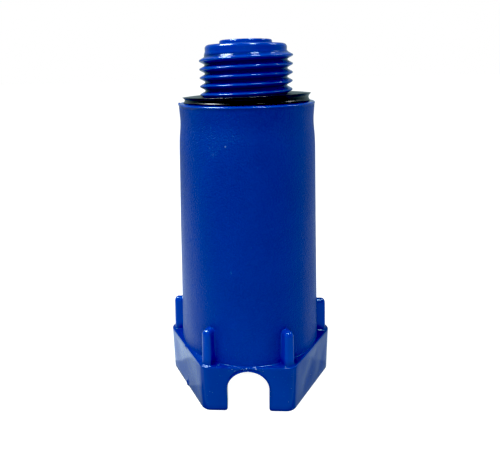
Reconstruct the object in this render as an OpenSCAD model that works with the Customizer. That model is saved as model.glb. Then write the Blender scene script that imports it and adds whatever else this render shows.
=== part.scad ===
// Long pressure-test plug: a hollow moulded plug with a closed G 1/2 male thread,
// a tapered tube, a hexagonal foot with two bar notches, and a loose flat seal.
// The origin is the centre of the base, +Z runs up the plug and -Y faces the front notch.

/* [Tube] */
// Height of the tube's top face above the base
tube_h = 71.2; // [60:0.2:90]
// Diameter of the tube at its top face
tube_top_d = 31.0; // [30.4:0.1:32]
// Diameter of the tube where it meets the hexagonal foot
tube_low_d = 35.8; // [34:0.1:36.2]
// Wall thickness of the tube
wall = 2.0; // [1.5:0.1:2.4]
// Thickness of the end wall below the seal
end_wall = 3.2; // [2.4:0.2:5]
// Depth of the shallow sink ring below the top face
sink_depth = 0.3; // [0.1:0.05:0.4]
// Height of the sink ring's middle below the top face
sink_drop = 4.2; // [3.6:0.2:6]

/* [Foot] */
// Width of the hexagonal foot across its flats
hex_af = 37.0; // [36.8:0.1:38]
// Height of the hexagonal foot
hex_h = 12.2; // [11.8:0.1:14]
// Radius of the foot's upright corners
hex_corner_r = 2.8; // [1.5:0.1:4]
// Width of the two bar notches
notch_w = 10.0; // [8:0.2:11]
// Height of the notches at the top of the arch
notch_h = 11.0; // [9:0.1:11.3]
// Thickness of the ribs above the foot's corners
rib_w = 2.5; // [2:0.1:3]
// Distance of the ribs' outer faces from the axis
rib_reach = 20.1; // [19.4:0.1:20.4]
// Height of the ribs' rounded tops above the base
rib_top = 21.2; // [18:0.2:26]

/* [Neck] */
// Major diameter of the G 1/2 thread
thread_d = 20.955; // [20.7:0.005:21]
// Root diameter of the thread
thread_root_d = 18.631; // [18.6:0.001:18.7]
// Pitch of the thread
thread_pitch = 1.814; // [1.7:0.001:1.9]
// Turns of the thread at full depth
thread_turns = 4.7; // [4:0.05:4.8]
// Diameter of the smooth lead-in above the thread
pilot_d = 18.2; // [17.6:0.1:18.4]
// Height of the lead-in's shoulder above the tube's top face
pilot_h = 12.15; // [12:0.05:14]
// Radius of the lead-in's upper edge
pilot_edge_r = 0.8; // [0.4:0.1:1.2]
// Diameter of the raised disc on the closed end
disc_d = 11.7; // [9:0.1:13]
// Height of the raised disc
disc_h = 0.9; // [0.4:0.1:1.4]
// Diameter of the hollow inside the neck
neck_bore_d = 12.6; // [10:0.2:13]

/* [Seal] */
// Outer diameter of the seal at its lips
seal_d = 29.2; // [28:0.1:30]
// Diameter of the seal's hole
seal_hole_d = 21.1; // [21.1:0.05:21.6]
// Thickness of the seal
seal_t = 1.3; // [1:0.1:2.5]
// Depth of the hollow round the seal's edge
seal_waist = 0.45; // [0.1:0.05:0.6]

/* [Hidden] */
$fn = 96;
plug_blue = [0.02, 0.16, 0.58];
seal_black = [0.04, 0.04, 0.04];

// Spread of the sink ring along the tube, and the number of steps that draw it
sink_spread = 3;
sink_steps = 12;

// The thread's ridge: half its crest flat, half its flank angle and how deep it is set into the core
crest_half = 0.1;
flank_angle = 27.5;
ridge_embed = 0.5;
core_r = thread_root_d / 2;
crest_r = thread_d / 2;
ridge_half = crest_half + (crest_r - core_r + ridge_embed) * tan(flank_angle);
// The ridge starts at the back, fades in and out over part of a turn, and is drawn in short steps
thread_start = 60;
fade_angle = 60;
step_angle = 7.5;
thread_end = thread_start + 360 * thread_turns + 2 * fade_angle;
thread_base = tube_h + ridge_half;
core_h = thread_pitch * (thread_end - thread_start) / 360 + ridge_half;

rib_r = rib_w / 2;
hex_corners = [0 : 60 : 300];
arch_r = notch_w / 2;
past = 1;

// Outer radius of the tube at height z: a cone with the sink ring taken out of it
function cone_r(z) =
    tube_low_d / 2 + (tube_top_d - tube_low_d) / 2 * (z - hex_h) / (tube_h - hex_h);
function sink(z) = sink_depth * exp(-pow((z - tube_h + sink_drop) / sink_spread, 2));
function tube_r(z) = cone_r(z) - sink(z);

// Heights at which the tube's outline is drawn, close together over the sink ring
sink_low = tube_h - sink_drop - 2.5 * sink_spread;
sink_levels = [for (i = [0 : sink_steps]) sink_low + (tube_h - sink_low) * i / sink_steps];

// Crest radius of the ridge at turn angle a: buried in the core at both ends
function fade(a) = min(1, (a - thread_start) / fade_angle, (thread_end - a) / fade_angle);
function ridge_crest(a) = core_r - ridge_embed / 2 + (crest_r - core_r + ridge_embed / 2) * max(0, fade(a));
function helix_point(r, a, dz) =
    [r * cos(a), r * sin(a), thread_base + thread_pitch * (a - thread_start) / 360 + dz];
function ridge_section(a) = [
    helix_point(core_r - ridge_embed, a, -ridge_half),
    helix_point(ridge_crest(a), a, -crest_half),
    helix_point(ridge_crest(a), a, crest_half),
    helix_point(core_r - ridge_embed, a, ridge_half)
];

// A hexagon with round corners, across flats af, with a corner on the X axis
module rounded_hexagon(af, r) {
    centre_r = (af / 2 - r) / cos(30);
    for (a = hex_corners)
        rotate(a)
            translate([centre_r, 0])
                circle(r);
    polygon([
        for (a = hex_corners, side = [-30, 30])
            [centre_r * cos(a) + r * cos(a + side), centre_r * sin(a) + r * sin(a + side)]
    ]);
}

// The thread's ridge as one closed helical solid
module thread_ridge() {
    steps = round((thread_end - thread_start) / step_angle);
    points = [
        for (i = [0 : steps])
            each ridge_section(thread_start + (thread_end - thread_start) * i / steps)
    ];
    sides = [
        for (i = [0 : steps - 1], k = [0 : 3])
            let (p = 4 * i + k, q = 4 * i + (k + 1) % 4)
            each [[p, q + 4, p + 4], [p, q, q + 4]]
    ];
    last = 4 * steps;
    caps = [[0, 2, 1], [0, 3, 2], [last, last + 1, last + 2], [last, last + 2, last + 3]];
    polyhedron(points, concat(sides, caps), convexity = 10);
}

// The neck's solid core, its smooth lead-in with a rounded edge and the raised disc
module neck_core() {
    translate([0, 0, tube_h - past])
        cylinder(h = core_h + past, r = core_r);
    rotate_extrude()
        translate([0, tube_h]) {
            square([pilot_d / 2, pilot_h - pilot_edge_r]);
            square([pilot_d / 2 - pilot_edge_r, pilot_h]);
            translate([pilot_d / 2 - pilot_edge_r, pilot_h - pilot_edge_r])
                circle(pilot_edge_r);
            square([disc_d / 2, pilot_h + disc_h]);
        }
}

// The tube as a solid of revolution, from the base to its top face
module tube_solid() {
    rotate_extrude()
        polygon(concat(
            [[0, 0], [cone_r(0), 0]],
            [for (z = sink_levels) [tube_r(z), z]],
            [[0, tube_h]]
        ));
}

// One rib, standing on the foot's corner at X, with a round nose and a domed top
module rib() {
    nose = rib_reach - rib_r;
    shoulder = rib_top - rib_r;
    inner = tube_top_d / 2;
    translate([nose, 0, hex_h - past])
        cylinder(h = shoulder - hex_h + past, r = rib_r);
    translate([inner, -rib_r, hex_h - past])
        cube([nose - inner, rib_w, shoulder - hex_h + past]);
    translate([inner, 0, shoulder])
        rotate([0, 90, 0])
            cylinder(h = nose - inner, r = rib_r);
    translate([nose, 0, shoulder])
        sphere(rib_r);
}

// The hollow: a tapered bore in the tube and a straight one in the neck
module hollow() {
    ceiling = tube_h - end_wall;
    rotate_extrude()
        polygon([
            [0, -past],
            [cone_r(-past) - wall, -past],
            [cone_r(ceiling) - wall, ceiling],
            [neck_bore_d / 2, ceiling],
            [neck_bore_d / 2, tube_h + pilot_h - wall],
            [0, tube_h + pilot_h - wall]
        ]);
}

// Both bar notches, as one arched cut from front to back
module notches() {
    translate([0, hex_af, 0])
        rotate([90, 0, 0])
            linear_extrude(2 * hex_af) {
                translate([-arch_r, -past])
                    square([notch_w, notch_h - arch_r + past]);
                translate([0, notch_h - arch_r])
                    circle(arch_r);
            }
}

module plug_body() {
    color(plug_blue)
        difference() {
            union() {
                tube_solid();
                linear_extrude(hex_h)
                    rounded_hexagon(hex_af, hex_corner_r);
                for (a = hex_corners)
                    rotate(a)
                        rib();
                neck_core();
                thread_ridge();
            }
            hollow();
            notches();
        }
}

// The flat seal, with a hollow round its edge between two lips
module seal_ring() {
    edge_r = seal_d / 2;
    translate([0, 0, tube_h])
        color(seal_black)
            rotate_extrude()
                difference() {
                    translate([seal_hole_d / 2, 0])
                        square([edge_r - seal_hole_d / 2, seal_t]);
                    hull_r = (pow(seal_t / 2, 2) + pow(seal_waist, 2)) / (2 * seal_waist);
                    translate([edge_r - seal_waist + hull_r, seal_t / 2])
                        circle(hull_r);
                }
}

plug_body();
seal_ring();
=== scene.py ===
"""Looks of a long pressure-test plug: one blue moulding with a G 1/2 thread and a loose black seal.

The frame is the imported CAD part. Lengths in this script are millimetres until a mesh is made.
Columns run down the moulding like staves, from the middle of the disc over the outside, round the
foot's lower edge and up the inside. Rows run round it.
"""

import math

import bpy
import numpy as np
from mathutils import Matrix, Vector


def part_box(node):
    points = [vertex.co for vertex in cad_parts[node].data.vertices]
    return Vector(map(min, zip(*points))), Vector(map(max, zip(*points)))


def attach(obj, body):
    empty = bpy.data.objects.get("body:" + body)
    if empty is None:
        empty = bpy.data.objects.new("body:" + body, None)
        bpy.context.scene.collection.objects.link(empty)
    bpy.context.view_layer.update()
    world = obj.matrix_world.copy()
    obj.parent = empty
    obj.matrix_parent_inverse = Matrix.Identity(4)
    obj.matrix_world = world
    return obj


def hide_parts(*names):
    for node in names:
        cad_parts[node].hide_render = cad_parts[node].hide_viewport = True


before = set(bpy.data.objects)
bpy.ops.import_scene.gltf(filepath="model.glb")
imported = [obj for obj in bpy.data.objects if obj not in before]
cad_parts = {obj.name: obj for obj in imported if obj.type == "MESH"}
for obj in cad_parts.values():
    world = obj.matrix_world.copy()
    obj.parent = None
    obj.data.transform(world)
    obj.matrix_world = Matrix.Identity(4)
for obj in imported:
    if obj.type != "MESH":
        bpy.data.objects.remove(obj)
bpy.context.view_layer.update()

MM = 0.001

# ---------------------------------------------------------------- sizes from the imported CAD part

body_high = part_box("plug_body")[1] / MM
seal_low, seal_high = (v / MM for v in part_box("seal_ring"))

HEX_CORNER_R = 2.8  # upright corners of the foot
HEX_FLAT = body_high.y  # from the axis to a flat
HEX_H = 12.2
TUBE_TOP_Z = seal_low.z  # the face under the seal
TUBE_TOP_R = 15.5
TUBE_LOW_R = 17.9  # where the tube meets the foot
WALL = 2.0
CEILING_Z = TUBE_TOP_Z - 3.2
SINK_DEPTH, SINK_DROP, SINK_SPREAD = 0.3, 4.2, 3.0
NOTCH_HALF = 5.0
NOTCH_TOP = 11.0
NOTCH_FLARE = 0.7  # rounded lower corners of the notch
DISC_TOP_Z = body_high.z
DISC_R = 5.85
SHOULDER_Z = DISC_TOP_Z - 0.9
PILOT_R = 9.1
PILOT_EDGE = 0.8
PILOT_LOW_Z = 82.0  # where the lead-in runs into the thread's core
CORE_R = 9.3155
CREST_R = 10.4775
PITCH = 1.814
NECK_BORE_R = 6.3
RIB_TOP_Z = 21.2
RIB_SHORT = {0: 0.3, 180: -0.15, 240: 0.1, 300: 0.4}  # how much lower some ribs end, by corner
RIB_LOW_R, RIB_SLOPE = 20.12, 0.04  # reach at the foot, and how far it falls back per mm of height
RIB_LOW_HALF, RIB_THINNING = 1.32, 0.024
SEAL_TILT = 0.3  # the seal's upper face stands this much higher at +X than at the axis
SEAL_FRONT_LIFT = 0.4  # and this much higher at the front

# ---------------------------------------------------------------- small helpers


def arc(start, end, steps, skip_first=False):
    """Angles in radians from start to end, given in degrees."""
    found = np.radians(np.linspace(start, end, steps + 1))
    return found[1:] if skip_first else found


def smooth(t):
    """0 below 0, 1 above 1 and an even S in between."""
    t = np.clip(t, 0, 1)
    return t * t * (3 - 2 * t)


def bump(x, middle, spread):
    """1 at the middle, falling away smoothly on both sides."""
    return np.exp(-(((x - middle) / spread) ** 2))


def angle_gap(a, b):
    """Signed difference between two angles in degrees, from -180 to 180."""
    return (a - b + 180) % 360 - 180


def cone_r(z):
    """The tube's outer radius at height z."""
    return TUBE_LOW_R + (TUBE_TOP_R - TUBE_LOW_R) * (z - HEX_H) / (TUBE_TOP_Z - HEX_H)


def make_mesh(name, points, faces, body, materials, face_materials=None):
    """A smooth-shaded piece from points in millimetres, riding on a CAD body."""
    mesh = bpy.data.meshes.new(name)
    mesh.from_pydata((np.asarray(points) * MM).tolist(), [], [list(f) for f in faces])
    for material in materials:
        mesh.materials.append(material)
    if face_materials is not None:
        mesh.polygons.foreach_set("material_index", np.asarray(face_materials, np.int32))
    mesh.polygons.foreach_set("use_smooth", np.ones(len(mesh.polygons), bool))
    mesh.update()
    piece = bpy.data.objects.new(name, mesh)
    bpy.context.scene.collection.objects.link(piece)
    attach(piece, body)
    return piece


# ---------------------------------------------------------------- materials


class Nodes:
    """Short names for building one procedural material. Texture coordinates are in millimetres."""

    def __init__(self, name):
        self.material = bpy.data.materials.new(name)
        self.material.use_nodes = True
        self.tree = self.material.node_tree
        self.shader = self.tree.nodes["Principled BSDF"]
        place = self.tree.nodes.new("ShaderNodeTexCoord")
        scale = self.tree.nodes.new("ShaderNodeMapping")
        scale.inputs["Scale"].default_value = (1 / MM,) * 3
        self.tree.links.new(place.outputs["Object"], scale.inputs["Vector"])
        self.mm = scale.outputs["Vector"]

    def link(self, value, socket):
        """Feeds a socket from another node, or sets it to a number or colour."""
        if isinstance(value, bpy.types.NodeSocket):
            self.tree.links.new(value, socket)
        else:
            socket.default_value = value

    def noise(self, per_mm, detail=2.0, roughness=0.5, stretch=(1, 1, 1), distortion=0.0):
        """Noise from 0 to 1 with per_mm features a millimetre; stretch makes streaks."""
        place = self.mm
        if stretch != (1, 1, 1):
            scale = self.tree.nodes.new("ShaderNodeMapping")
            scale.inputs["Scale"].default_value = stretch
            self.tree.links.new(self.mm, scale.inputs["Vector"])
            place = scale.outputs["Vector"]
        node = self.tree.nodes.new("ShaderNodeTexNoise")
        self.tree.links.new(place, node.inputs["Vector"])
        node.inputs["Scale"].default_value = per_mm
        node.inputs["Detail"].default_value = detail
        node.inputs["Roughness"].default_value = roughness
        node.inputs["Distortion"].default_value = distortion
        return node.outputs["Fac"]

    def range(self, value, low, high, to_low=0.0, to_high=1.0, soft=False):
        """Maps low..high onto to_low..to_high, without going past either end."""
        node = self.tree.nodes.new("ShaderNodeMapRange")
        node.interpolation_type = "SMOOTHSTEP" if soft else "LINEAR"
        self.link(value, node.inputs["Value"])
        node.inputs["From Min"].default_value = low
        node.inputs["From Max"].default_value = high
        node.inputs["To Min"].default_value = to_low
        node.inputs["To Max"].default_value = to_high
        return node.outputs["Result"]

    def math(self, operation, a, b=0.0):
        """One arithmetic step on two numbers or sockets."""
        node = self.tree.nodes.new("ShaderNodeMath")
        node.operation = operation
        self.link(a, node.inputs[0])
        self.link(b, node.inputs[1])
        return node.outputs[0]

    def near(self, point, radius):
        """1 at a point given in millimetres, falling to 0 at the radius."""
        node = self.tree.nodes.new("ShaderNodeVectorMath")
        node.operation = "DISTANCE"
        self.tree.links.new(self.mm, node.inputs[0])
        node.inputs[1].default_value = point
        return self.range(node.outputs["Value"], 0, radius, 1, 0, soft=True)

    def height(self):
        """The Z coordinate in millimetres."""
        node = self.tree.nodes.new("ShaderNodeSeparateXYZ")
        self.tree.links.new(self.mm, node.inputs[0])
        return node.outputs["Z"]

    def radius(self):
        """The distance from the Z axis in millimetres."""
        flat = self.tree.nodes.new("ShaderNodeVectorMath")
        flat.operation = "MULTIPLY"
        self.tree.links.new(self.mm, flat.inputs[0])
        flat.inputs[1].default_value = (1, 1, 0)
        node = self.tree.nodes.new("ShaderNodeVectorMath")
        node.operation = "LENGTH"
        self.tree.links.new(flat.outputs["Vector"], node.inputs[0])
        return node.outputs["Value"]

    def mix(self, factor, a, b):
        """Colour a at factor 0 and colour b at factor 1."""
        node = self.tree.nodes.new("ShaderNodeMix")
        node.data_type = "RGBA"
        self.link(factor, node.inputs["Factor"])
        self.link((*a, 1) if isinstance(a, tuple) else a, node.inputs["A"])
        self.link((*b, 1) if isinstance(b, tuple) else b, node.inputs["B"])
        return node.outputs["Result"]

    def bumps(self, *layers):
        """Stacks bump layers, each a height from 0 to 1 and its depth in millimetres."""
        normal = None
        for height, depth in layers:
            node = self.tree.nodes.new("ShaderNodeBump")
            node.inputs["Strength"].default_value = 1.0
            node.inputs["Distance"].default_value = depth * MM
            self.tree.links.new(height, node.inputs["Height"])
            if normal is not None:
                self.tree.links.new(normal, node.inputs["Normal"])
            normal = node.outputs["Normal"]
        self.tree.links.new(normal, self.shader.inputs["Normal"])

    def set(self, **sockets):
        """Sets the shader's sockets by name, with underscores for spaces."""
        for name, value in sockets.items():
            self.link(value, self.shader.inputs[name.replace("_", " ")])


BLUE = (0.0004, 0.0260, 0.262)
BLUE_DEEP = (0.0003, 0.0240, 0.246)
BLUE_PALE = (0.0010, 0.0300, 0.285)
BLUE_GRAIN = (0.0020, 0.0400, 0.335)
BLUE_PAINTED_LIGHT = (0.0015, 0.0410, 0.370)
BLUE_PAINTED_ROOT_SHADE = (0.0001, 0.0050, 0.060)
SHEEN_TINT = (0.45, 0.75, 1.0, 1)  # the plastic's reflections are slightly blue
# pale blue-white for the scratches, scuffs and speck, and for the painted highlights on the front web
SCUFF_AND_GLINT_WHITE = (0.30, 0.42, 0.72)
SPECK_AT, SPECK_R = (-4.0, -15.3, 63.2), 0.32  # a pale speck on the front of the tube
SMEAR_AT, SMEAR_R = (-6.4, -14.6, 61.6), 1.6  # and a faint smear beside it
WEB_AT, WEB_R = (0.0, -HEX_FLAT, 11.9), 5.5  # the thin web over the front notch, with white flecks painted on as highlights


def textured_plastic():
    """The tube: fine spark-eroded grain, faint flow marks, a few scuffs."""
    n = Nodes("tube_textured_blue")
    clouds = n.noise(0.09, detail=3)
    grain = n.noise(2.6, detail=3, roughness=0.65)
    flow = n.noise(0.35, detail=3, stretch=(1, 1, 0.12))
    scuffs = n.range(n.noise(1.3, detail=4, stretch=(1, 1, 0.3), distortion=0.6), 0.70, 0.78)
    colour = n.mix(n.range(clouds, 0.3, 0.7), BLUE_DEEP, BLUE_PALE)
    colour = n.mix(n.math("MULTIPLY", n.range(grain, 0.42, 0.62), 0.5), colour, BLUE_GRAIN)
    colour = n.mix(n.math("MULTIPLY", scuffs, 0.10), colour, SCUFF_AND_GLINT_WHITE)
    speck = n.near(SPECK_AT, SPECK_R)
    smear = n.math("MULTIPLY", n.near(SMEAR_AT, SMEAR_R), n.range(grain, 0.45, 0.6))
    colour = n.mix(n.math("MULTIPLY", smear, 0.12), colour, SCUFF_AND_GLINT_WHITE)
    colour = n.mix(n.math("MULTIPLY", speck, 0.6), colour, SCUFF_AND_GLINT_WHITE)
    rough = n.range(grain, 0.25, 0.75, 0.34, 0.44)
    rough = n.math("ADD", rough, n.range(flow, 0.3, 0.7, -0.03, 0.03))
    n.set(Base_Color=colour, Roughness=rough, Specular_IOR_Level=0.3, Specular_Tint=SHEEN_TINT)
    n.bumps((grain, 0.22), (flow, 0.05))
    return n.material


def glossy_plastic():
    """Neck, foot and ribs: polished mould surfaces with faint ripples and handling scratches.

    The ribs and the neck get a lighter blue, which is painted light, and the thread's roots get a dark
    blue, which is painted shade.
    """
    n = Nodes("polished_blue")
    clouds = n.noise(0.12, detail=3)
    ripple = n.noise(0.45, detail=1)
    fine = n.noise(9.0, detail=2)
    scratches = n.range(n.noise(1.8, detail=3, stretch=(1, 0.15, 1), distortion=1.2), 0.68, 0.74)
    colour = n.mix(n.range(clouds, 0.3, 0.7), BLUE_DEEP, BLUE_PALE)
    # painted light: everything above the foot's shelf gets a lighter blue in place of the light falling on
    # the neck and ribs
    painted_light_above_foot = n.range(n.height(), HEX_H + 0.6, HEX_H + 1.8)
    colour = n.mix(n.math("MULTIPLY", painted_light_above_foot, 0.85), colour, BLUE_PAINTED_LIGHT)
    # painted shade: the thread's roots are darkened where shade falls in the grooves
    painted_root_shade = n.range(n.radius(), CORE_R + 0.1, CORE_R + 0.8, 1, 0)
    painted_root_shade = n.math("MULTIPLY", painted_root_shade, n.range(n.height(), PILOT_LOW_Z - 0.9, PILOT_LOW_Z - 0.2, 1, 0))
    colour = n.mix(n.math("MULTIPLY", painted_root_shade, 0.75), colour, BLUE_PAINTED_ROOT_SHADE)
    colour = n.mix(n.math("MULTIPLY", scratches, 0.12), colour, SCUFF_AND_GLINT_WHITE)
    # painted highlights: white flecks along the top of the web over the front notch stand in for glints off
    # its edges
    web = n.near(WEB_AT, WEB_R)
    painted_glint_flecks = n.range(n.noise(1.9, detail=2, roughness=0.4), 0.60, 0.66)
    edge = n.math("MULTIPLY", n.range(n.height(), 11.0, 11.6), painted_glint_flecks)
    colour = n.mix(n.math("MULTIPLY", n.math("MULTIPLY", edge, web), 0.9), colour, SCUFF_AND_GLINT_WHITE)
    rough = n.range(clouds, 0.3, 0.7, 0.14, 0.20)
    rough = n.math("ADD", rough, n.math("MULTIPLY", scratches, 0.15))
    n.set(Base_Color=colour, Roughness=rough, Specular_IOR_Level=0.42, Specular_Tint=SHEEN_TINT)
    n.bumps((ripple, 0.05), (fine, 0.003))
    return n.material


def inner_plastic():
    """The hollow inside: plain core surface with draw marks along the axis."""
    n = Nodes("inner_blue")
    clouds = n.noise(0.1, detail=2)
    draw = n.noise(2.2, detail=2, stretch=(1, 1, 0.03))
    colour = n.mix(n.range(clouds, 0.3, 0.7), BLUE_DEEP, BLUE)
    n.set(Base_Color=colour, Roughness=n.range(draw, 0.3, 0.7, 0.30, 0.42), Specular_IOR_Level=0.4)
    n.bumps((draw, 0.02))
    return n.material


def black_rubber():
    """The seal: black rubber with a moulded sheen, dust and faint grain."""
    n = Nodes("seal_rubber")
    grain = n.noise(6.0, detail=3)
    bloom = n.noise(0.5, detail=3)
    dust = n.range(n.noise(2.6, detail=2), 0.72, 0.78)
    colour = n.mix(n.range(bloom, 0.35, 0.7), (0.006, 0.006, 0.007), (0.014, 0.014, 0.015))
    colour = n.mix(n.math("MULTIPLY", dust, 0.25), colour, (0.35, 0.35, 0.34))
    n.set(Base_Color=colour, Roughness=n.range(grain, 0.3, 0.7, 0.24, 0.34), Specular_IOR_Level=0.35)
    n.bumps((grain, 0.006), (bloom, 0.03))
    return n.material


TUBE_BLUE = textured_plastic()
GLOSS_BLUE = glossy_plastic()
INNER_BLUE = inner_plastic()
RUBBER = black_rubber()

# ---------------------------------------------------------------- the moulding's columns


def corner_columns(middle):
    """Columns round one upright corner: outline point and outward normal."""
    centre_r = body_high.x - HEX_CORNER_R
    centre = centre_r * np.array([math.cos(math.radians(middle)), math.sin(math.radians(middle))])
    normals = np.array([[math.cos(a), math.sin(a)] for a in arc(middle - 30, middle + 30, 12)])
    return [(centre + HEX_CORNER_R * n, n) for n in normals]


def flat_angles(middle, steps):
    """Evenly spaced column angles across one flat, between its two corners' columns."""
    half = math.degrees(math.atan((HEX_FLAT - HEX_CORNER_R) * math.tan(math.radians(30)) / HEX_FLAT))
    return np.radians(np.linspace(middle - half, middle + half, steps + 1)[1:-1])


def flat_columns(middle, steps):
    """Columns across one plain flat: outline point and outward normal."""
    normal = np.array([math.cos(math.radians(middle)), math.sin(math.radians(middle))])
    across = np.array([-normal[1], normal[0]])
    offsets = HEX_FLAT * np.tan(flat_angles(middle, steps) - math.radians(middle))
    return [(HEX_FLAT * normal + t * across, normal) for t in offsets]


def notch_outline():
    """The foot's lower edge across a notched flat, left to right: (x, z) and the way into the material."""
    arch_z = NOTCH_TOP - NOTCH_HALF
    edge = (HEX_FLAT - HEX_CORNER_R) * math.tan(math.radians(30))
    left = [((x, 0.0), (0.0, 1.0)) for x in np.linspace(-edge, -NOTCH_HALF - NOTCH_FLARE, 7)[1:-1]]
    flare_x, flare_z = -NOTCH_HALF - NOTCH_FLARE, NOTCH_FLARE
    for a in arc(-90, 0, 4):
        across, up = math.cos(a), math.sin(a)
        left.append(((flare_x + NOTCH_FLARE * across, flare_z + NOTCH_FLARE * up), (-across, -up)))
    left += [((-NOTCH_HALF, z), (-1.0, 0.0)) for z in np.linspace(NOTCH_FLARE, arch_z, 8)[1:-1]]
    for a in arc(180, 90, 14):
        turn = (math.cos(a), math.sin(a))
        left.append(((NOTCH_HALF * turn[0], arch_z + NOTCH_HALF * turn[1]), turn))
    right = [((-x, z), (-u, w)) for (x, z), (u, w) in left[-2::-1]]
    return left + right


def front_half():
    """Columns from 180 to 360 degrees: top outline, lower outline, way up from the lower edge, normal."""
    columns = []
    for corner in (180, 240, 300):
        for point, normal in corner_columns(corner):
            columns.append((point, (*point, 0.0), (0.0, 0.0, 1.0), normal))
        flat = corner + 30
        if flat == 270:
            outline = notch_outline()
            angles = flat_angles(flat, len(outline) + 1)
            for ((x, z), (u, w)), angle in zip(outline, angles):
                top = (HEX_FLAT * math.tan(angle - math.radians(flat)), -HEX_FLAT)
                columns.append((top, (x, -HEX_FLAT, z), (u, 0.0, w), (0.0, -1.0)))
        else:
            for point, normal in flat_columns(flat, 36):
                columns.append((point, (*point, 0.0), (0.0, 0.0, 1.0), normal))
    return columns


def all_columns():
    """The front half's columns and the same again turned to the back, as arrays."""
    front = [[np.array(v, float) for v in column] for column in front_half()]
    turned = [[v * np.array([-1, -1, 1])[: len(v)] for v in column] for column in front]
    # the way up keeps its height and turns with the column, like every other vector
    return [np.array(v) for v in zip(*(front + turned))]


TOP_OUT, LOW_OUT, WAY_UP, NORMAL = all_columns()
ANGLE = np.arctan2(TOP_OUT[:, 1], TOP_OUT[:, 0])
RADIAL = np.stack([np.cos(ANGLE), np.sin(ANGLE)], 1)
DEGREES = np.degrees(ANGLE)
COUNT = len(ANGLE)

# ---------------------------------------------------------------- the moulding's rows


def ring(r, z):
    """A row at radius r and height z; either may differ by column."""
    r = np.broadcast_to(r, COUNT)
    z = np.broadcast_to(z, COUNT)
    return np.column_stack([RADIAL * r[:, None], z])


def round_edge(mid_r, mid_z, radius, steps):
    """Rows over a convex edge, from its top to its side."""
    return [ring(mid_r + radius * math.sin(a), mid_z + radius * math.cos(a)) for a in arc(0, 90, steps)]


def round_corner(mid_r, mid_z, radius, steps):
    """Rows down a hollow corner, from its side to its floor."""
    return [ring(mid_r - radius * math.cos(a), mid_z - radius * math.sin(a)) for a in arc(0, 90, steps)]


def round_ceiling(mid_r, mid_z, radius, steps):
    """Rows up the inside of a hollow, from its side to its ceiling."""
    return [ring(mid_r + radius * math.cos(a), mid_z + radius * math.sin(a)) for a in arc(0, 90, steps)]


def neck_rows():
    """The closed end: raised disc, shoulder, lead-in and the thread's core."""
    rows = [ring(r, DISC_TOP_Z - 0.06 * (1 - r / DISC_R)) for r in (1.2, 2.6, 4.2)]
    edge = 0.42
    rows += round_edge(DISC_R - edge, DISC_TOP_Z - edge, edge, 4)
    foot = 0.15
    rows += round_corner(DISC_R + foot, SHOULDER_Z + foot, foot, 3)
    rows.append(ring(7.2, SHOULDER_Z))
    rows += round_edge(PILOT_R - PILOT_EDGE, SHOULDER_Z - PILOT_EDGE, PILOT_EDGE, 9)
    for t in np.linspace(0, 1, 6):
        rows.append(ring(PILOT_R + (CORE_R - PILOT_R) * smooth(t), PILOT_LOW_Z - 0.8 * t))
    rows += [ring(CORE_R, z) for z in np.linspace(PILOT_LOW_Z - 1.6, TUBE_TOP_Z + 1.0, 8)]
    return rows


def seat_rows():
    """The seal's seat and the tube's rim, with a thin raised lip and one burr on it."""
    level = TUBE_TOP_Z
    inner = 0.3
    rows = round_corner(CORE_R + inner, level + inner, inner, 3)
    rows += [ring(r, level) for r in (11.0, 13.0)]
    rows.append(ring(14.4, level - 0.03))
    edge = 0.34
    level = level - 0.14
    burr_at = 186
    burr = 0.32 * bump(angle_gap(DEGREES, burr_at), 0, 1.6) + 0.06 * bump(angle_gap(DEGREES, 200), 0, 5)
    out = 0.05 + 0.10 * bump(angle_gap(DEGREES, burr_at), 0, 3)
    for a in arc(0, 90, 5):
        lift = burr * bump(math.degrees(a), 45, 40)
        r = TUBE_TOP_R - edge + (edge + out) * math.sin(a)
        rows.append(ring(r, level - edge + edge * math.cos(a) + lift))
    return rows


def tube_rows():
    """The tapered tube: a shallow sink ring below the rim, and sides that are slightly uneven."""
    rows = []
    top, low = TUBE_TOP_Z - 0.5, HEX_H + 0.2
    shares = np.concatenate([np.linspace(0, 0.3, 26), np.linspace(0.3, 1, 34)[1:]])
    for share in shares:
        z = top + (low - top) * share
        sink = SINK_DEPTH * bump(z, TUBE_TOP_Z - SINK_DROP, SINK_SPREAD)
        uneven = 0.035 * np.sin(2 * ANGLE + 0.7 + 0.05 * z) + 0.02 * np.sin(3 * ANGLE - 0.09 * z)
        fade = smooth(share / 0.1) * smooth((1 - share) / 0.1)
        rows.append(ring(cone_r(z) - sink - np.abs(uneven) * fade, z))
    return rows


def face_sink():
    """Where the foot's sides may sink in, by column: 1 in the middle of a flat and 0 at the corners."""
    flats = np.radians(np.arange(30, 360, 60))
    gap = np.min(np.abs(np.degrees(np.angle(np.exp(1j * (ANGLE[:, None] - flats))))), axis=1)
    return smooth((26 - gap) / 14)


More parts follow.
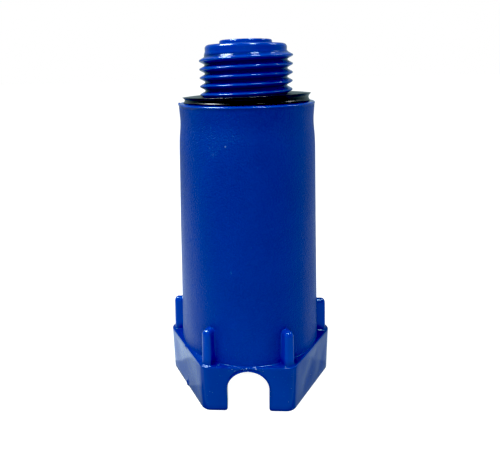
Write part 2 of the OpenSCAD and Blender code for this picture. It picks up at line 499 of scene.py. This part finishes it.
def foot_rows():
    """Shelf, upper edge, sides, lower edge and the way across to the inside."""
    hollow_r = 0.2
    tube_r = cone_r(HEX_H)
    rows = [
        ring(tube_r + hollow_r - hollow_r * math.cos(a), HEX_H + hollow_r - hollow_r * math.sin(a))
        for a in arc(30, 90, 3)
    ]
    edge = 0.25
    normal = np.column_stack([NORMAL, np.zeros(COUNT)])
    up = np.array([0.0, 0.0, 1.0])
    top = np.column_stack([TOP_OUT, np.full(COUNT, HEX_H)])
    shelf_start = rows[-1]
    shelf_end = top - edge * normal
    rows += [shelf_start + (shelf_end - shelf_start) * t for t in (0.35, 0.7)]
    centre = top - edge * normal - edge * up
    rows += [centre + edge * (normal * math.sin(a) + up * math.cos(a)) for a in arc(0, 90, 4)]
    lower = 0.35
    side_top = rows[-1]
    side_low = LOW_OUT + lower * WAY_UP
    middle = face_sink()
    for t in np.linspace(0, 1, 16)[1:]:
        depth = middle * (0.16 * math.sin(math.pi * t) ** 1.5)
        waves = middle * 0.07 * (1 + np.sin(4.2 * ANGLE * 3 + 5.5 * t)) * math.sin(math.pi * t)
        at = side_top + (side_low - side_top) * t
        rows.append(at - normal * (depth + waves)[:, None])
    centre = LOW_OUT + lower * WAY_UP - lower * normal
    turns = arc(0, 90, 5, skip_first=True)
    rows += [centre + lower * (normal * math.cos(a) - WAY_UP * math.sin(a)) for a in turns]
    return rows


def inner_low():
    """Where the foot's lower edge meets the inside, by column."""
    r = cone_r(LOW_OUT[:, 2]) - WALL
    notched = np.abs(np.abs(NORMAL[:, 1]) - 1) < 1e-6
    straight = RADIAL * r[:, None]
    x = LOW_OUT[:, 0]
    side = np.sign(NORMAL[:, 1])
    cut = np.column_stack([x, side * np.sqrt(np.maximum(r**2 - x**2, 0.01))])
    blend = smooth((np.abs(x) - 6.0) / 3.0)[:, None]
    flat = cut * (1 - blend) + straight * blend
    flat *= (r / np.linalg.norm(flat, axis=1))[:, None]
    return np.column_stack([np.where(notched[:, None], flat, straight), LOW_OUT[:, 2]])


def inside_rows(outer_edge):
    """Across the lower edge, then up the inside of the tube and the neck to the closed end."""
    edge = 0.3
    corner = inner_low()
    inward = -corner / np.linalg.norm(corner[:, :2], axis=1)[:, None]
    inward[:, 2] = 0
    centre = corner + edge * WAY_UP - edge * inward
    lower = [centre + edge * (inward * math.sin(a) - WAY_UP * math.cos(a)) for a in arc(0, 90, 3)]
    rows = [outer_edge + (lower[0] - outer_edge) * t for t in (0.25, 0.5, 0.75)] + lower
    start = rows[-1]
    start_angle = np.arctan2(start[:, 1], start[:, 0])
    turn = np.angle(np.exp(1j * (ANGLE - start_angle)))
    join_z = 15.0
    for t in np.linspace(0, 1, 9)[1:]:
        a = start_angle + turn * t
        z = start[:, 2] + (join_z - start[:, 2]) * t
        r = cone_r(z) - WALL
        rows.append(np.column_stack([r * np.cos(a), r * np.sin(a), z]))
    tube_round, neck_round = 1.2, 0.8
    rows += [ring(cone_r(z) - WALL, z) for z in np.linspace(join_z, CEILING_Z - tube_round, 16)[1:]]
    top_r = cone_r(CEILING_Z) - WALL
    rows += round_ceiling(top_r - tube_round, CEILING_Z - tube_round, tube_round, 5)
    rows.append(ring(9.5, CEILING_Z))
    mouth = 0.4
    rows += [
        ring(NECK_BORE_R + mouth - mouth * math.sin(a), CEILING_Z + mouth - mouth * math.cos(a))
        for a in arc(0, 90, 3)
    ]
    end_z = SHOULDER_Z - WALL
    rows += [ring(NECK_BORE_R, z) for z in (CEILING_Z + 4, CEILING_Z + 8)]
    rows += round_ceiling(NECK_BORE_R - neck_round, end_z - neck_round, neck_round, 4)
    rows.append(ring(2.5, end_z))
    return rows, end_z


def flash_ticks(points):
    """Small flash marks on the parting line, in the middle of two of the foot's sides."""
    for side in (210, 30):
        out = np.array([math.cos(math.radians(side)), math.sin(math.radians(side)), 0.0])
        across = np.array([-out[1], out[0], 0.0])
        on_face = (points @ out > HEX_FLAT - 0.6) & (np.abs(points @ across) < 3)
        along = np.abs(points @ across)
        for z, height, tall in ((HEX_H - 0.1, 0.30, 0.5), (0.9, 0.45, 0.8)):
            rise = height * bump(along, 0, 0.28) * bump(points[:, 2], z, tall) * on_face
            points += out * rise[:, None]
    return points


def plug_shell():
    """The whole moulding except its thread and ribs, as one closed skin inside and out."""
    neck, seat, tube, foot = neck_rows(), seat_rows(), tube_rows(), foot_rows()
    inside, end_z = inside_rows(foot[-1])
    rows = neck + seat + tube + foot + inside
    points = flash_ticks(np.concatenate(rows))
    points = np.concatenate([points, [[0, 0, DISC_TOP_Z - 0.06], [0, 0, end_z]]])
    top, end = len(points) - 2, len(points) - 1
    gloss_until = len(neck) + len(seat)
    tube_until = gloss_until + len(tube)
    foot_until = tube_until + len(foot) + 3
    faces, slots = [], []
    around = [(i, (i + 1) % COUNT) for i in range(COUNT)]
    for row in range(len(rows) - 1):
        a, b = row * COUNT, (row + 1) * COUNT
        faces += [(a + i, b + i, b + j, a + j) for i, j in around]
        is_tube = gloss_until <= row < tube_until
        slots += [0 if is_tube else 1 if row < foot_until else 2] * COUNT
    faces += [(top, i, j) for i, j in around]
    slots += [1] * COUNT
    last = (len(rows) - 1) * COUNT
    faces += [(end, last + j, last + i) for i, j in around]
    slots += [2] * COUNT
    return make_mesh("plug_shell", points, faces, "plug", [TUBE_BLUE, GLOSS_BLUE, INNER_BLUE], slots)


# ---------------------------------------------------------------- thread, ribs and seal


def thread_ridge():
    """The right-hand thread: the 55 degree form with round crests and roots, fading out at both ends."""
    depth = CREST_R - CORE_R
    rounding = 0.1373 * PITCH
    base_z = TUBE_TOP_Z + 0.965
    turns = 4.7
    first, last = 60.0, 60.0 + 360 * turns + 120
    per_turn = 144
    steps = int((last - first) / 360 * per_turn)
    # one section: height above the core against offset along the axis, from crest to root
    upper = [(depth - rounding + rounding * math.cos(a), rounding * math.sin(a)) for a in arc(0, 62.5, 5)]
    upper += [
        (rounding - rounding * math.cos(a), PITCH / 2 - rounding * math.sin(a)) for a in arc(62.5, 0, 5)
    ]
    lower = [(h, -s) for h, s in upper[:0:-1]]
    section = lower + upper + [(-0.45, PITCH / 2), (-0.45, -PITCH / 2)]
    size = len(section)
    points = []
    for i in range(steps + 1):
        degrees = first + (last - first) * i / steps
        fade = smooth(min(1.0, (degrees - first) / 60, (last - degrees) / 60))
        a = math.radians(degrees)
        z = base_z + PITCH * (degrees - first) / 360
        for h, s in section:
            r = CORE_R + (h * fade - 0.05 * (1 - fade) if h > -0.1 else h)
            points.append((r * math.cos(a), r * math.sin(a), z + s))
    faces = []
    for i in range(steps):
        a, b = i * size, (i + 1) * size
        faces += [(a + k, b + k, b + (k + 1) % size, a + (k + 1) % size) for k in range(size)]
    end = steps * size
    faces.append(tuple(range(size)))
    faces.append(tuple(range(end + size - 1, end - 1, -1)))
    return make_mesh("plug_thread", points, faces, "plug", [GLOSS_BLUE])


def rib_section(inset, z):
    """One rib's outline at height z, drawn inwards by inset, as (radial, across) from side to side."""
    reach = RIB_LOW_R - RIB_SLOPE * (z - HEX_H) - inset
    half = RIB_LOW_HALF - RIB_THINNING * (z - HEX_H) - inset
    nose = min(0.85, half * 0.8)
    surface = cone_r(z)
    fillet = 0.22
    near_tube = []
    for a in arc(0, 90, 5):
        across = half + fillet - fillet * math.sin(a)
        on_tube = math.sqrt(surface**2 - across**2) - 0.09 * (1 - math.sin(a))
        near_tube.append((on_tube + fillet - fillet * math.cos(a), across))
    side = [(surface - 0.8, half + fillet)] + near_tube + [((surface + reach - nose) / 2, half)]
    side += [(reach - nose + nose * math.sin(a), half - nose + nose * math.cos(a)) for a in arc(0, 90, 6)]
    return side + [(x, -y) for x, y in reversed(side)]


def ribs():
    """Six ribs on the foot's corners, each with a rounded nose, a domed top and a filleted foot."""
    dome = 1.12
    foot = 0.2
    points, faces = [], []
    for corner in range(0, 360, 60):
        top_z = RIB_TOP_Z - RIB_SHORT.get(corner, 0.0)
        levels = [(-foot, HEX_H - 0.3)]
        levels += [(-foot + foot * math.sin(a), HEX_H + foot - foot * math.cos(a)) for a in arc(0, 90, 4)]
        levels += [(0.0, z) for z in np.linspace(HEX_H + 1, top_z - dome, 8)]
        for a in arc(0, 88, 9, skip_first=True):
            levels.append((dome - dome * math.cos(a), top_z - dome + dome * math.sin(a)))
        c, s = math.cos(math.radians(corner)), math.sin(math.radians(corner))
        start = len(points)
        for inset, z in levels:
            section = rib_section(inset, z)
            points += [(x * c - y * s, x * s + y * c, z) for x, y in section]
        size = len(section)
        for row in range(len(levels) - 1):
            a, b = start + row * size, start + (row + 1) * size
            faces += [(a + k, a + (k + 1) % size, b + (k + 1) % size, b + k) for k in range(size)]
        top = start + (len(levels) - 1) * size
        faces.append(tuple(range(start + size - 1, start - 1, -1)))
        faces.append(tuple(range(top, top + size)))
    # sections run clockwise seen from above, so the faces are turned over
    faces = [tuple(reversed(f)) for f in faces]
    return make_mesh("plug_ribs", points, faces, "plug", [GLOSS_BLUE])


def seal():
    """The seal: a ring with a hollow edge between two lips, a little dished and sitting slightly askew."""
    low, high = seal_low.z, seal_high.z
    outer = seal_high.x
    hole = 10.55
    thick = high - low
    lip = 0.06
    waist = 0.42
    edge = []
    for t in np.linspace(0, 1, 11):
        lip_r = outer - 0.18 * (1 - t)
        edge.append((lip_r - waist * math.sin(math.pi * t) ** 0.8, lip + (thick - 2 * lip) * t))
    chamfer = 0.15
    profile = [(hole, chamfer), (hole + chamfer, 0.0), (12.5, 0.0), (14.0, 0.0), (outer - 0.23, 0.0)]
    profile += edge
    profile += [(r, thick) for r in (outer - 0.05, outer - 0.3, 13.4, 12.0, hole + chamfer)]
    profile += [(hole, thick - chamfer), (hole, thick / 2)]
    steps = 192
    size = len(profile)
    points = []
    for i in range(steps):
        a = 2 * math.pi * i / steps
        c, s = math.cos(a), math.sin(a)
        wavy = 0.03 * math.sin(3 * a + 1.0) + 0.02 * math.sin(5 * a)
        for r, h in profile:
            share = h / thick
            lean = SEAL_TILT * (0.15 + 0.85 * share) * c * r / outer
            lean += SEAL_FRONT_LIFT * (0.4 + 0.6 * share) * smooth((0.3 - s) / 1.3) * smooth((r - hole) / 3)
            drop = share * (0.22 * (1 - smooth((r - hole) / 4)) + wavy * smooth((r - hole) / 4))
            points.append((r * c, r * s, low + h + lean - drop))
    faces = []
    for i in range(steps):
        a, b = i * size, (i + 1) % steps * size
        faces += [(a + k, b + k, b + (k + 1) % size, a + (k + 1) % size) for k in range(size)]
    return make_mesh("seal", points, faces, "seal", [RUBBER])


shell = plug_shell()
thread = thread_ridge()
rib_group = ribs()
seal_piece = seal()
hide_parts("plug_body")
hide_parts("plug_body")
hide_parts("plug_body")
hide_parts("seal_ring")

# ---------------------------------------------------------------- floor, light and camera

BLACK_POINT = 0.019  # deep shadows are printed black, as in a contrasty product picture
ROOM_TINT = (0.68, 0.93, 1.0)  # the room's light is cool
TABLE_TINT = (0.82, 0.96, 1.0)  # and the table's a little less so
ROOM_LOW, ROOM_HIGH = 0.56, 0.42  # brightness of the room low down and overhead


def floor():
    """A pale floor that glows, so that it stays light inside the hollow foot, and is clear from below."""
    mesh = bpy.data.meshes.new("floor")
    half = 3.0
    z = -0.00002
    corners = [(-half, -half, z), (half, -half, z), (half, half, z), (-half, half, z)]
    mesh.from_pydata(corners, [], [(0, 1, 2, 3)])
    material = bpy.data.materials.new("pale_floor")
    material.use_nodes = True
    shader = material.node_tree.nodes["Principled BSDF"]
    shader.inputs["Base Color"].default_value = (0.30, 0.30, 0.30, 1)
    shader.inputs["Roughness"].default_value = 0.9
    shader.inputs["Specular IOR Level"].default_value = 0.1
    shader.inputs["Emission Color"].default_value = (1, 1, 1, 1)
    shader.inputs["Emission Strength"].default_value = 0.97
    tree = material.node_tree
    facing = tree.nodes.new("ShaderNodeNewGeometry")
    clear = tree.nodes.new("ShaderNodeBsdfTransparent")
    either = tree.nodes.new("ShaderNodeMixShader")
    tree.links.new(facing.outputs["Backfacing"], either.inputs["Fac"])
    tree.links.new(shader.outputs["BSDF"], either.inputs[1])
    tree.links.new(clear.outputs["BSDF"], either.inputs[2])
    tree.links.new(either.outputs["Shader"], tree.nodes["Material Output"].inputs["Surface"])
    mesh.materials.append(material)
    ground = bpy.data.objects.new("floor", mesh)
    ground.visible_diffuse = False
    ground.visible_glossy = False
    bpy.context.scene.collection.objects.link(ground)


def softbox(name, azimuth, elevation, distance, width, height, power, glossy=True, diffuse=True):
    """An area light aimed at the plug. Azimuth is measured from the front, positive to the right."""
    light = bpy.data.lights.new(name, "AREA")
    light.shape = "RECTANGLE"
    light.size, light.size_y = width, height
    light.energy = power
    holder = bpy.data.objects.new(name, light)
    bpy.context.scene.collection.objects.link(holder)
    a, e = math.radians(azimuth), math.radians(elevation)
    aim = Vector((0, 0, 0.045))
    away = Vector((math.sin(a) * math.cos(e), -math.cos(a) * math.cos(e), math.sin(e)))
    holder.location = aim + away * distance
    holder.rotation_euler = (-away).to_track_quat("-Z", "Y").to_euler()
    holder.visible_camera = False
    holder.visible_glossy = glossy
    holder.visible_diffuse = diffuse


def table_glow(name, azimuth, distance, size, power, above=0.0005):
    """A brightly lit patch of the table beside the foot, which shows in the foot's glossy sides."""
    light = bpy.data.lights.new(name, "AREA")
    light.size = size
    light.energy = power
    light.color = TABLE_TINT
    holder = bpy.data.objects.new(name, light)
    bpy.context.scene.collection.objects.link(holder)
    a = math.radians(azimuth)
    holder.location = (math.sin(a) * distance, -math.cos(a) * distance, above)
    holder.rotation_euler = (math.pi, 0, a)
    holder.visible_camera = False


def studio():
    """White all round for the camera; the plug sees a bright wall behind it and a dim room in front."""
    world = bpy.data.worlds.new("studio")
    bpy.context.scene.world = world
    world.use_nodes = True
    tree = world.node_tree
    background = tree.nodes["Background"]
    direction = tree.nodes.new("ShaderNodeTexCoord")
    split = tree.nodes.new("ShaderNodeSeparateXYZ")
    tree.links.new(direction.outputs["Generated"], split.inputs[0])
    parts = []
    for axis, low, high, dim, bright in (("Y", -0.2, 0.9, 0.5, 1.2), ("Z", -0.3, 0.2, ROOM_LOW, ROOM_HIGH)):
        part = tree.nodes.new("ShaderNodeMapRange")
        part.interpolation_type = "SMOOTHSTEP"
        tree.links.new(split.outputs[axis], part.inputs["Value"])
        part.inputs["From Min"].default_value = low
        part.inputs["From Max"].default_value = high
        part.inputs["To Min"].default_value = dim
        part.inputs["To Max"].default_value = bright
        parts.append(part)
    room = tree.nodes.new("ShaderNodeMath")
    room.operation = "MULTIPLY"
    tree.links.new(parts[0].outputs["Result"], room.inputs[0])
    tree.links.new(parts[1].outputs["Result"], room.inputs[1])
    path = tree.nodes.new("ShaderNodeLightPath")
    seen = tree.nodes.new("ShaderNodeMath")
    seen.operation = "MAXIMUM"
    tree.links.new(path.outputs["Is Camera Ray"], seen.inputs[0])
    tree.links.new(room.outputs[0], seen.inputs[1])
    tree.links.new(seen.outputs[0], background.inputs["Strength"])
    tint = tree.nodes.new("ShaderNodeMix")
    tint.data_type = "RGBA"
    tree.links.new(path.outputs["Is Camera Ray"], tint.inputs["Factor"])
    tint.inputs["A"].default_value = (*ROOM_TINT, 1)
    tint.inputs["B"].default_value = (1, 1, 1, 1)
    tree.links.new(tint.outputs["Result"], background.inputs["Color"])
    softbox("key_left", -90, 59, 0.55, 0.12, 0.20, 8.5, diffuse=False)
    softbox("top_right", 60, 76, 0.55, 0.08, 0.14, 3.2, diffuse=False)
    softbox("side_right", 110, 45, 0.60, 0.05, 0.15, 0.8, diffuse=False)
    softbox("overhead", -60, 65, 0.60, 0.30, 0.30, 4.0, glossy=False)
    softbox("front_soft", 0, 22, 0.60, 0.45, 0.35, 1.5, glossy=False)
    softbox("fill_right", 100, 10, 0.60, 0.40, 0.40, 1.5, glossy=False)
    table_glow("table_left", -118, 0.095, 0.15, 0.056)
    table_glow("foot_left", -118, 0.040, 0.062, 0.004, 0.0008)
    table_glow("table_right", 122, 0.095, 0.15, 0.016)
    table_glow("table_front", 0, 0.099, 0.16, 0.045)


def camera():
    """The camera of the reference view: 33.5 mm lens, 110 mm from the axis, looking down 19 degrees."""
    orbit, pan, pitch, roll = (math.radians(v) for v in (-1.77, -1.716, 18.68, -1.375))
    distance, height = 0.11029, 0.07849
    data = bpy.data.cameras.new("camera")
    data.sensor_width = 36
    data.lens = 33.5
    data.shift_x = 0.03
    data.clip_start = 0.01
    holder = bpy.data.objects.new("camera", data)
    bpy.context.scene.collection.objects.link(holder)
    place = Matrix.Translation((-math.sin(orbit) * distance, -math.cos(orbit) * distance, height))
    turn = Matrix.Rotation(-(orbit + pan), 4, "Z") @ Matrix.Rotation(math.pi / 2 - pitch, 4, "X")
    holder.matrix_world = place @ turn @ Matrix.Rotation(roll, 4, "Z")
    bpy.context.scene.camera = holder


floor()
studio()
camera()
look = bpy.context.scene.view_settings
look.view_transform = "Standard"
look.use_curve_mapping = True
look.curve_mapping.black_level = (BLACK_POINT,) * 3
look.curve_mapping.update()
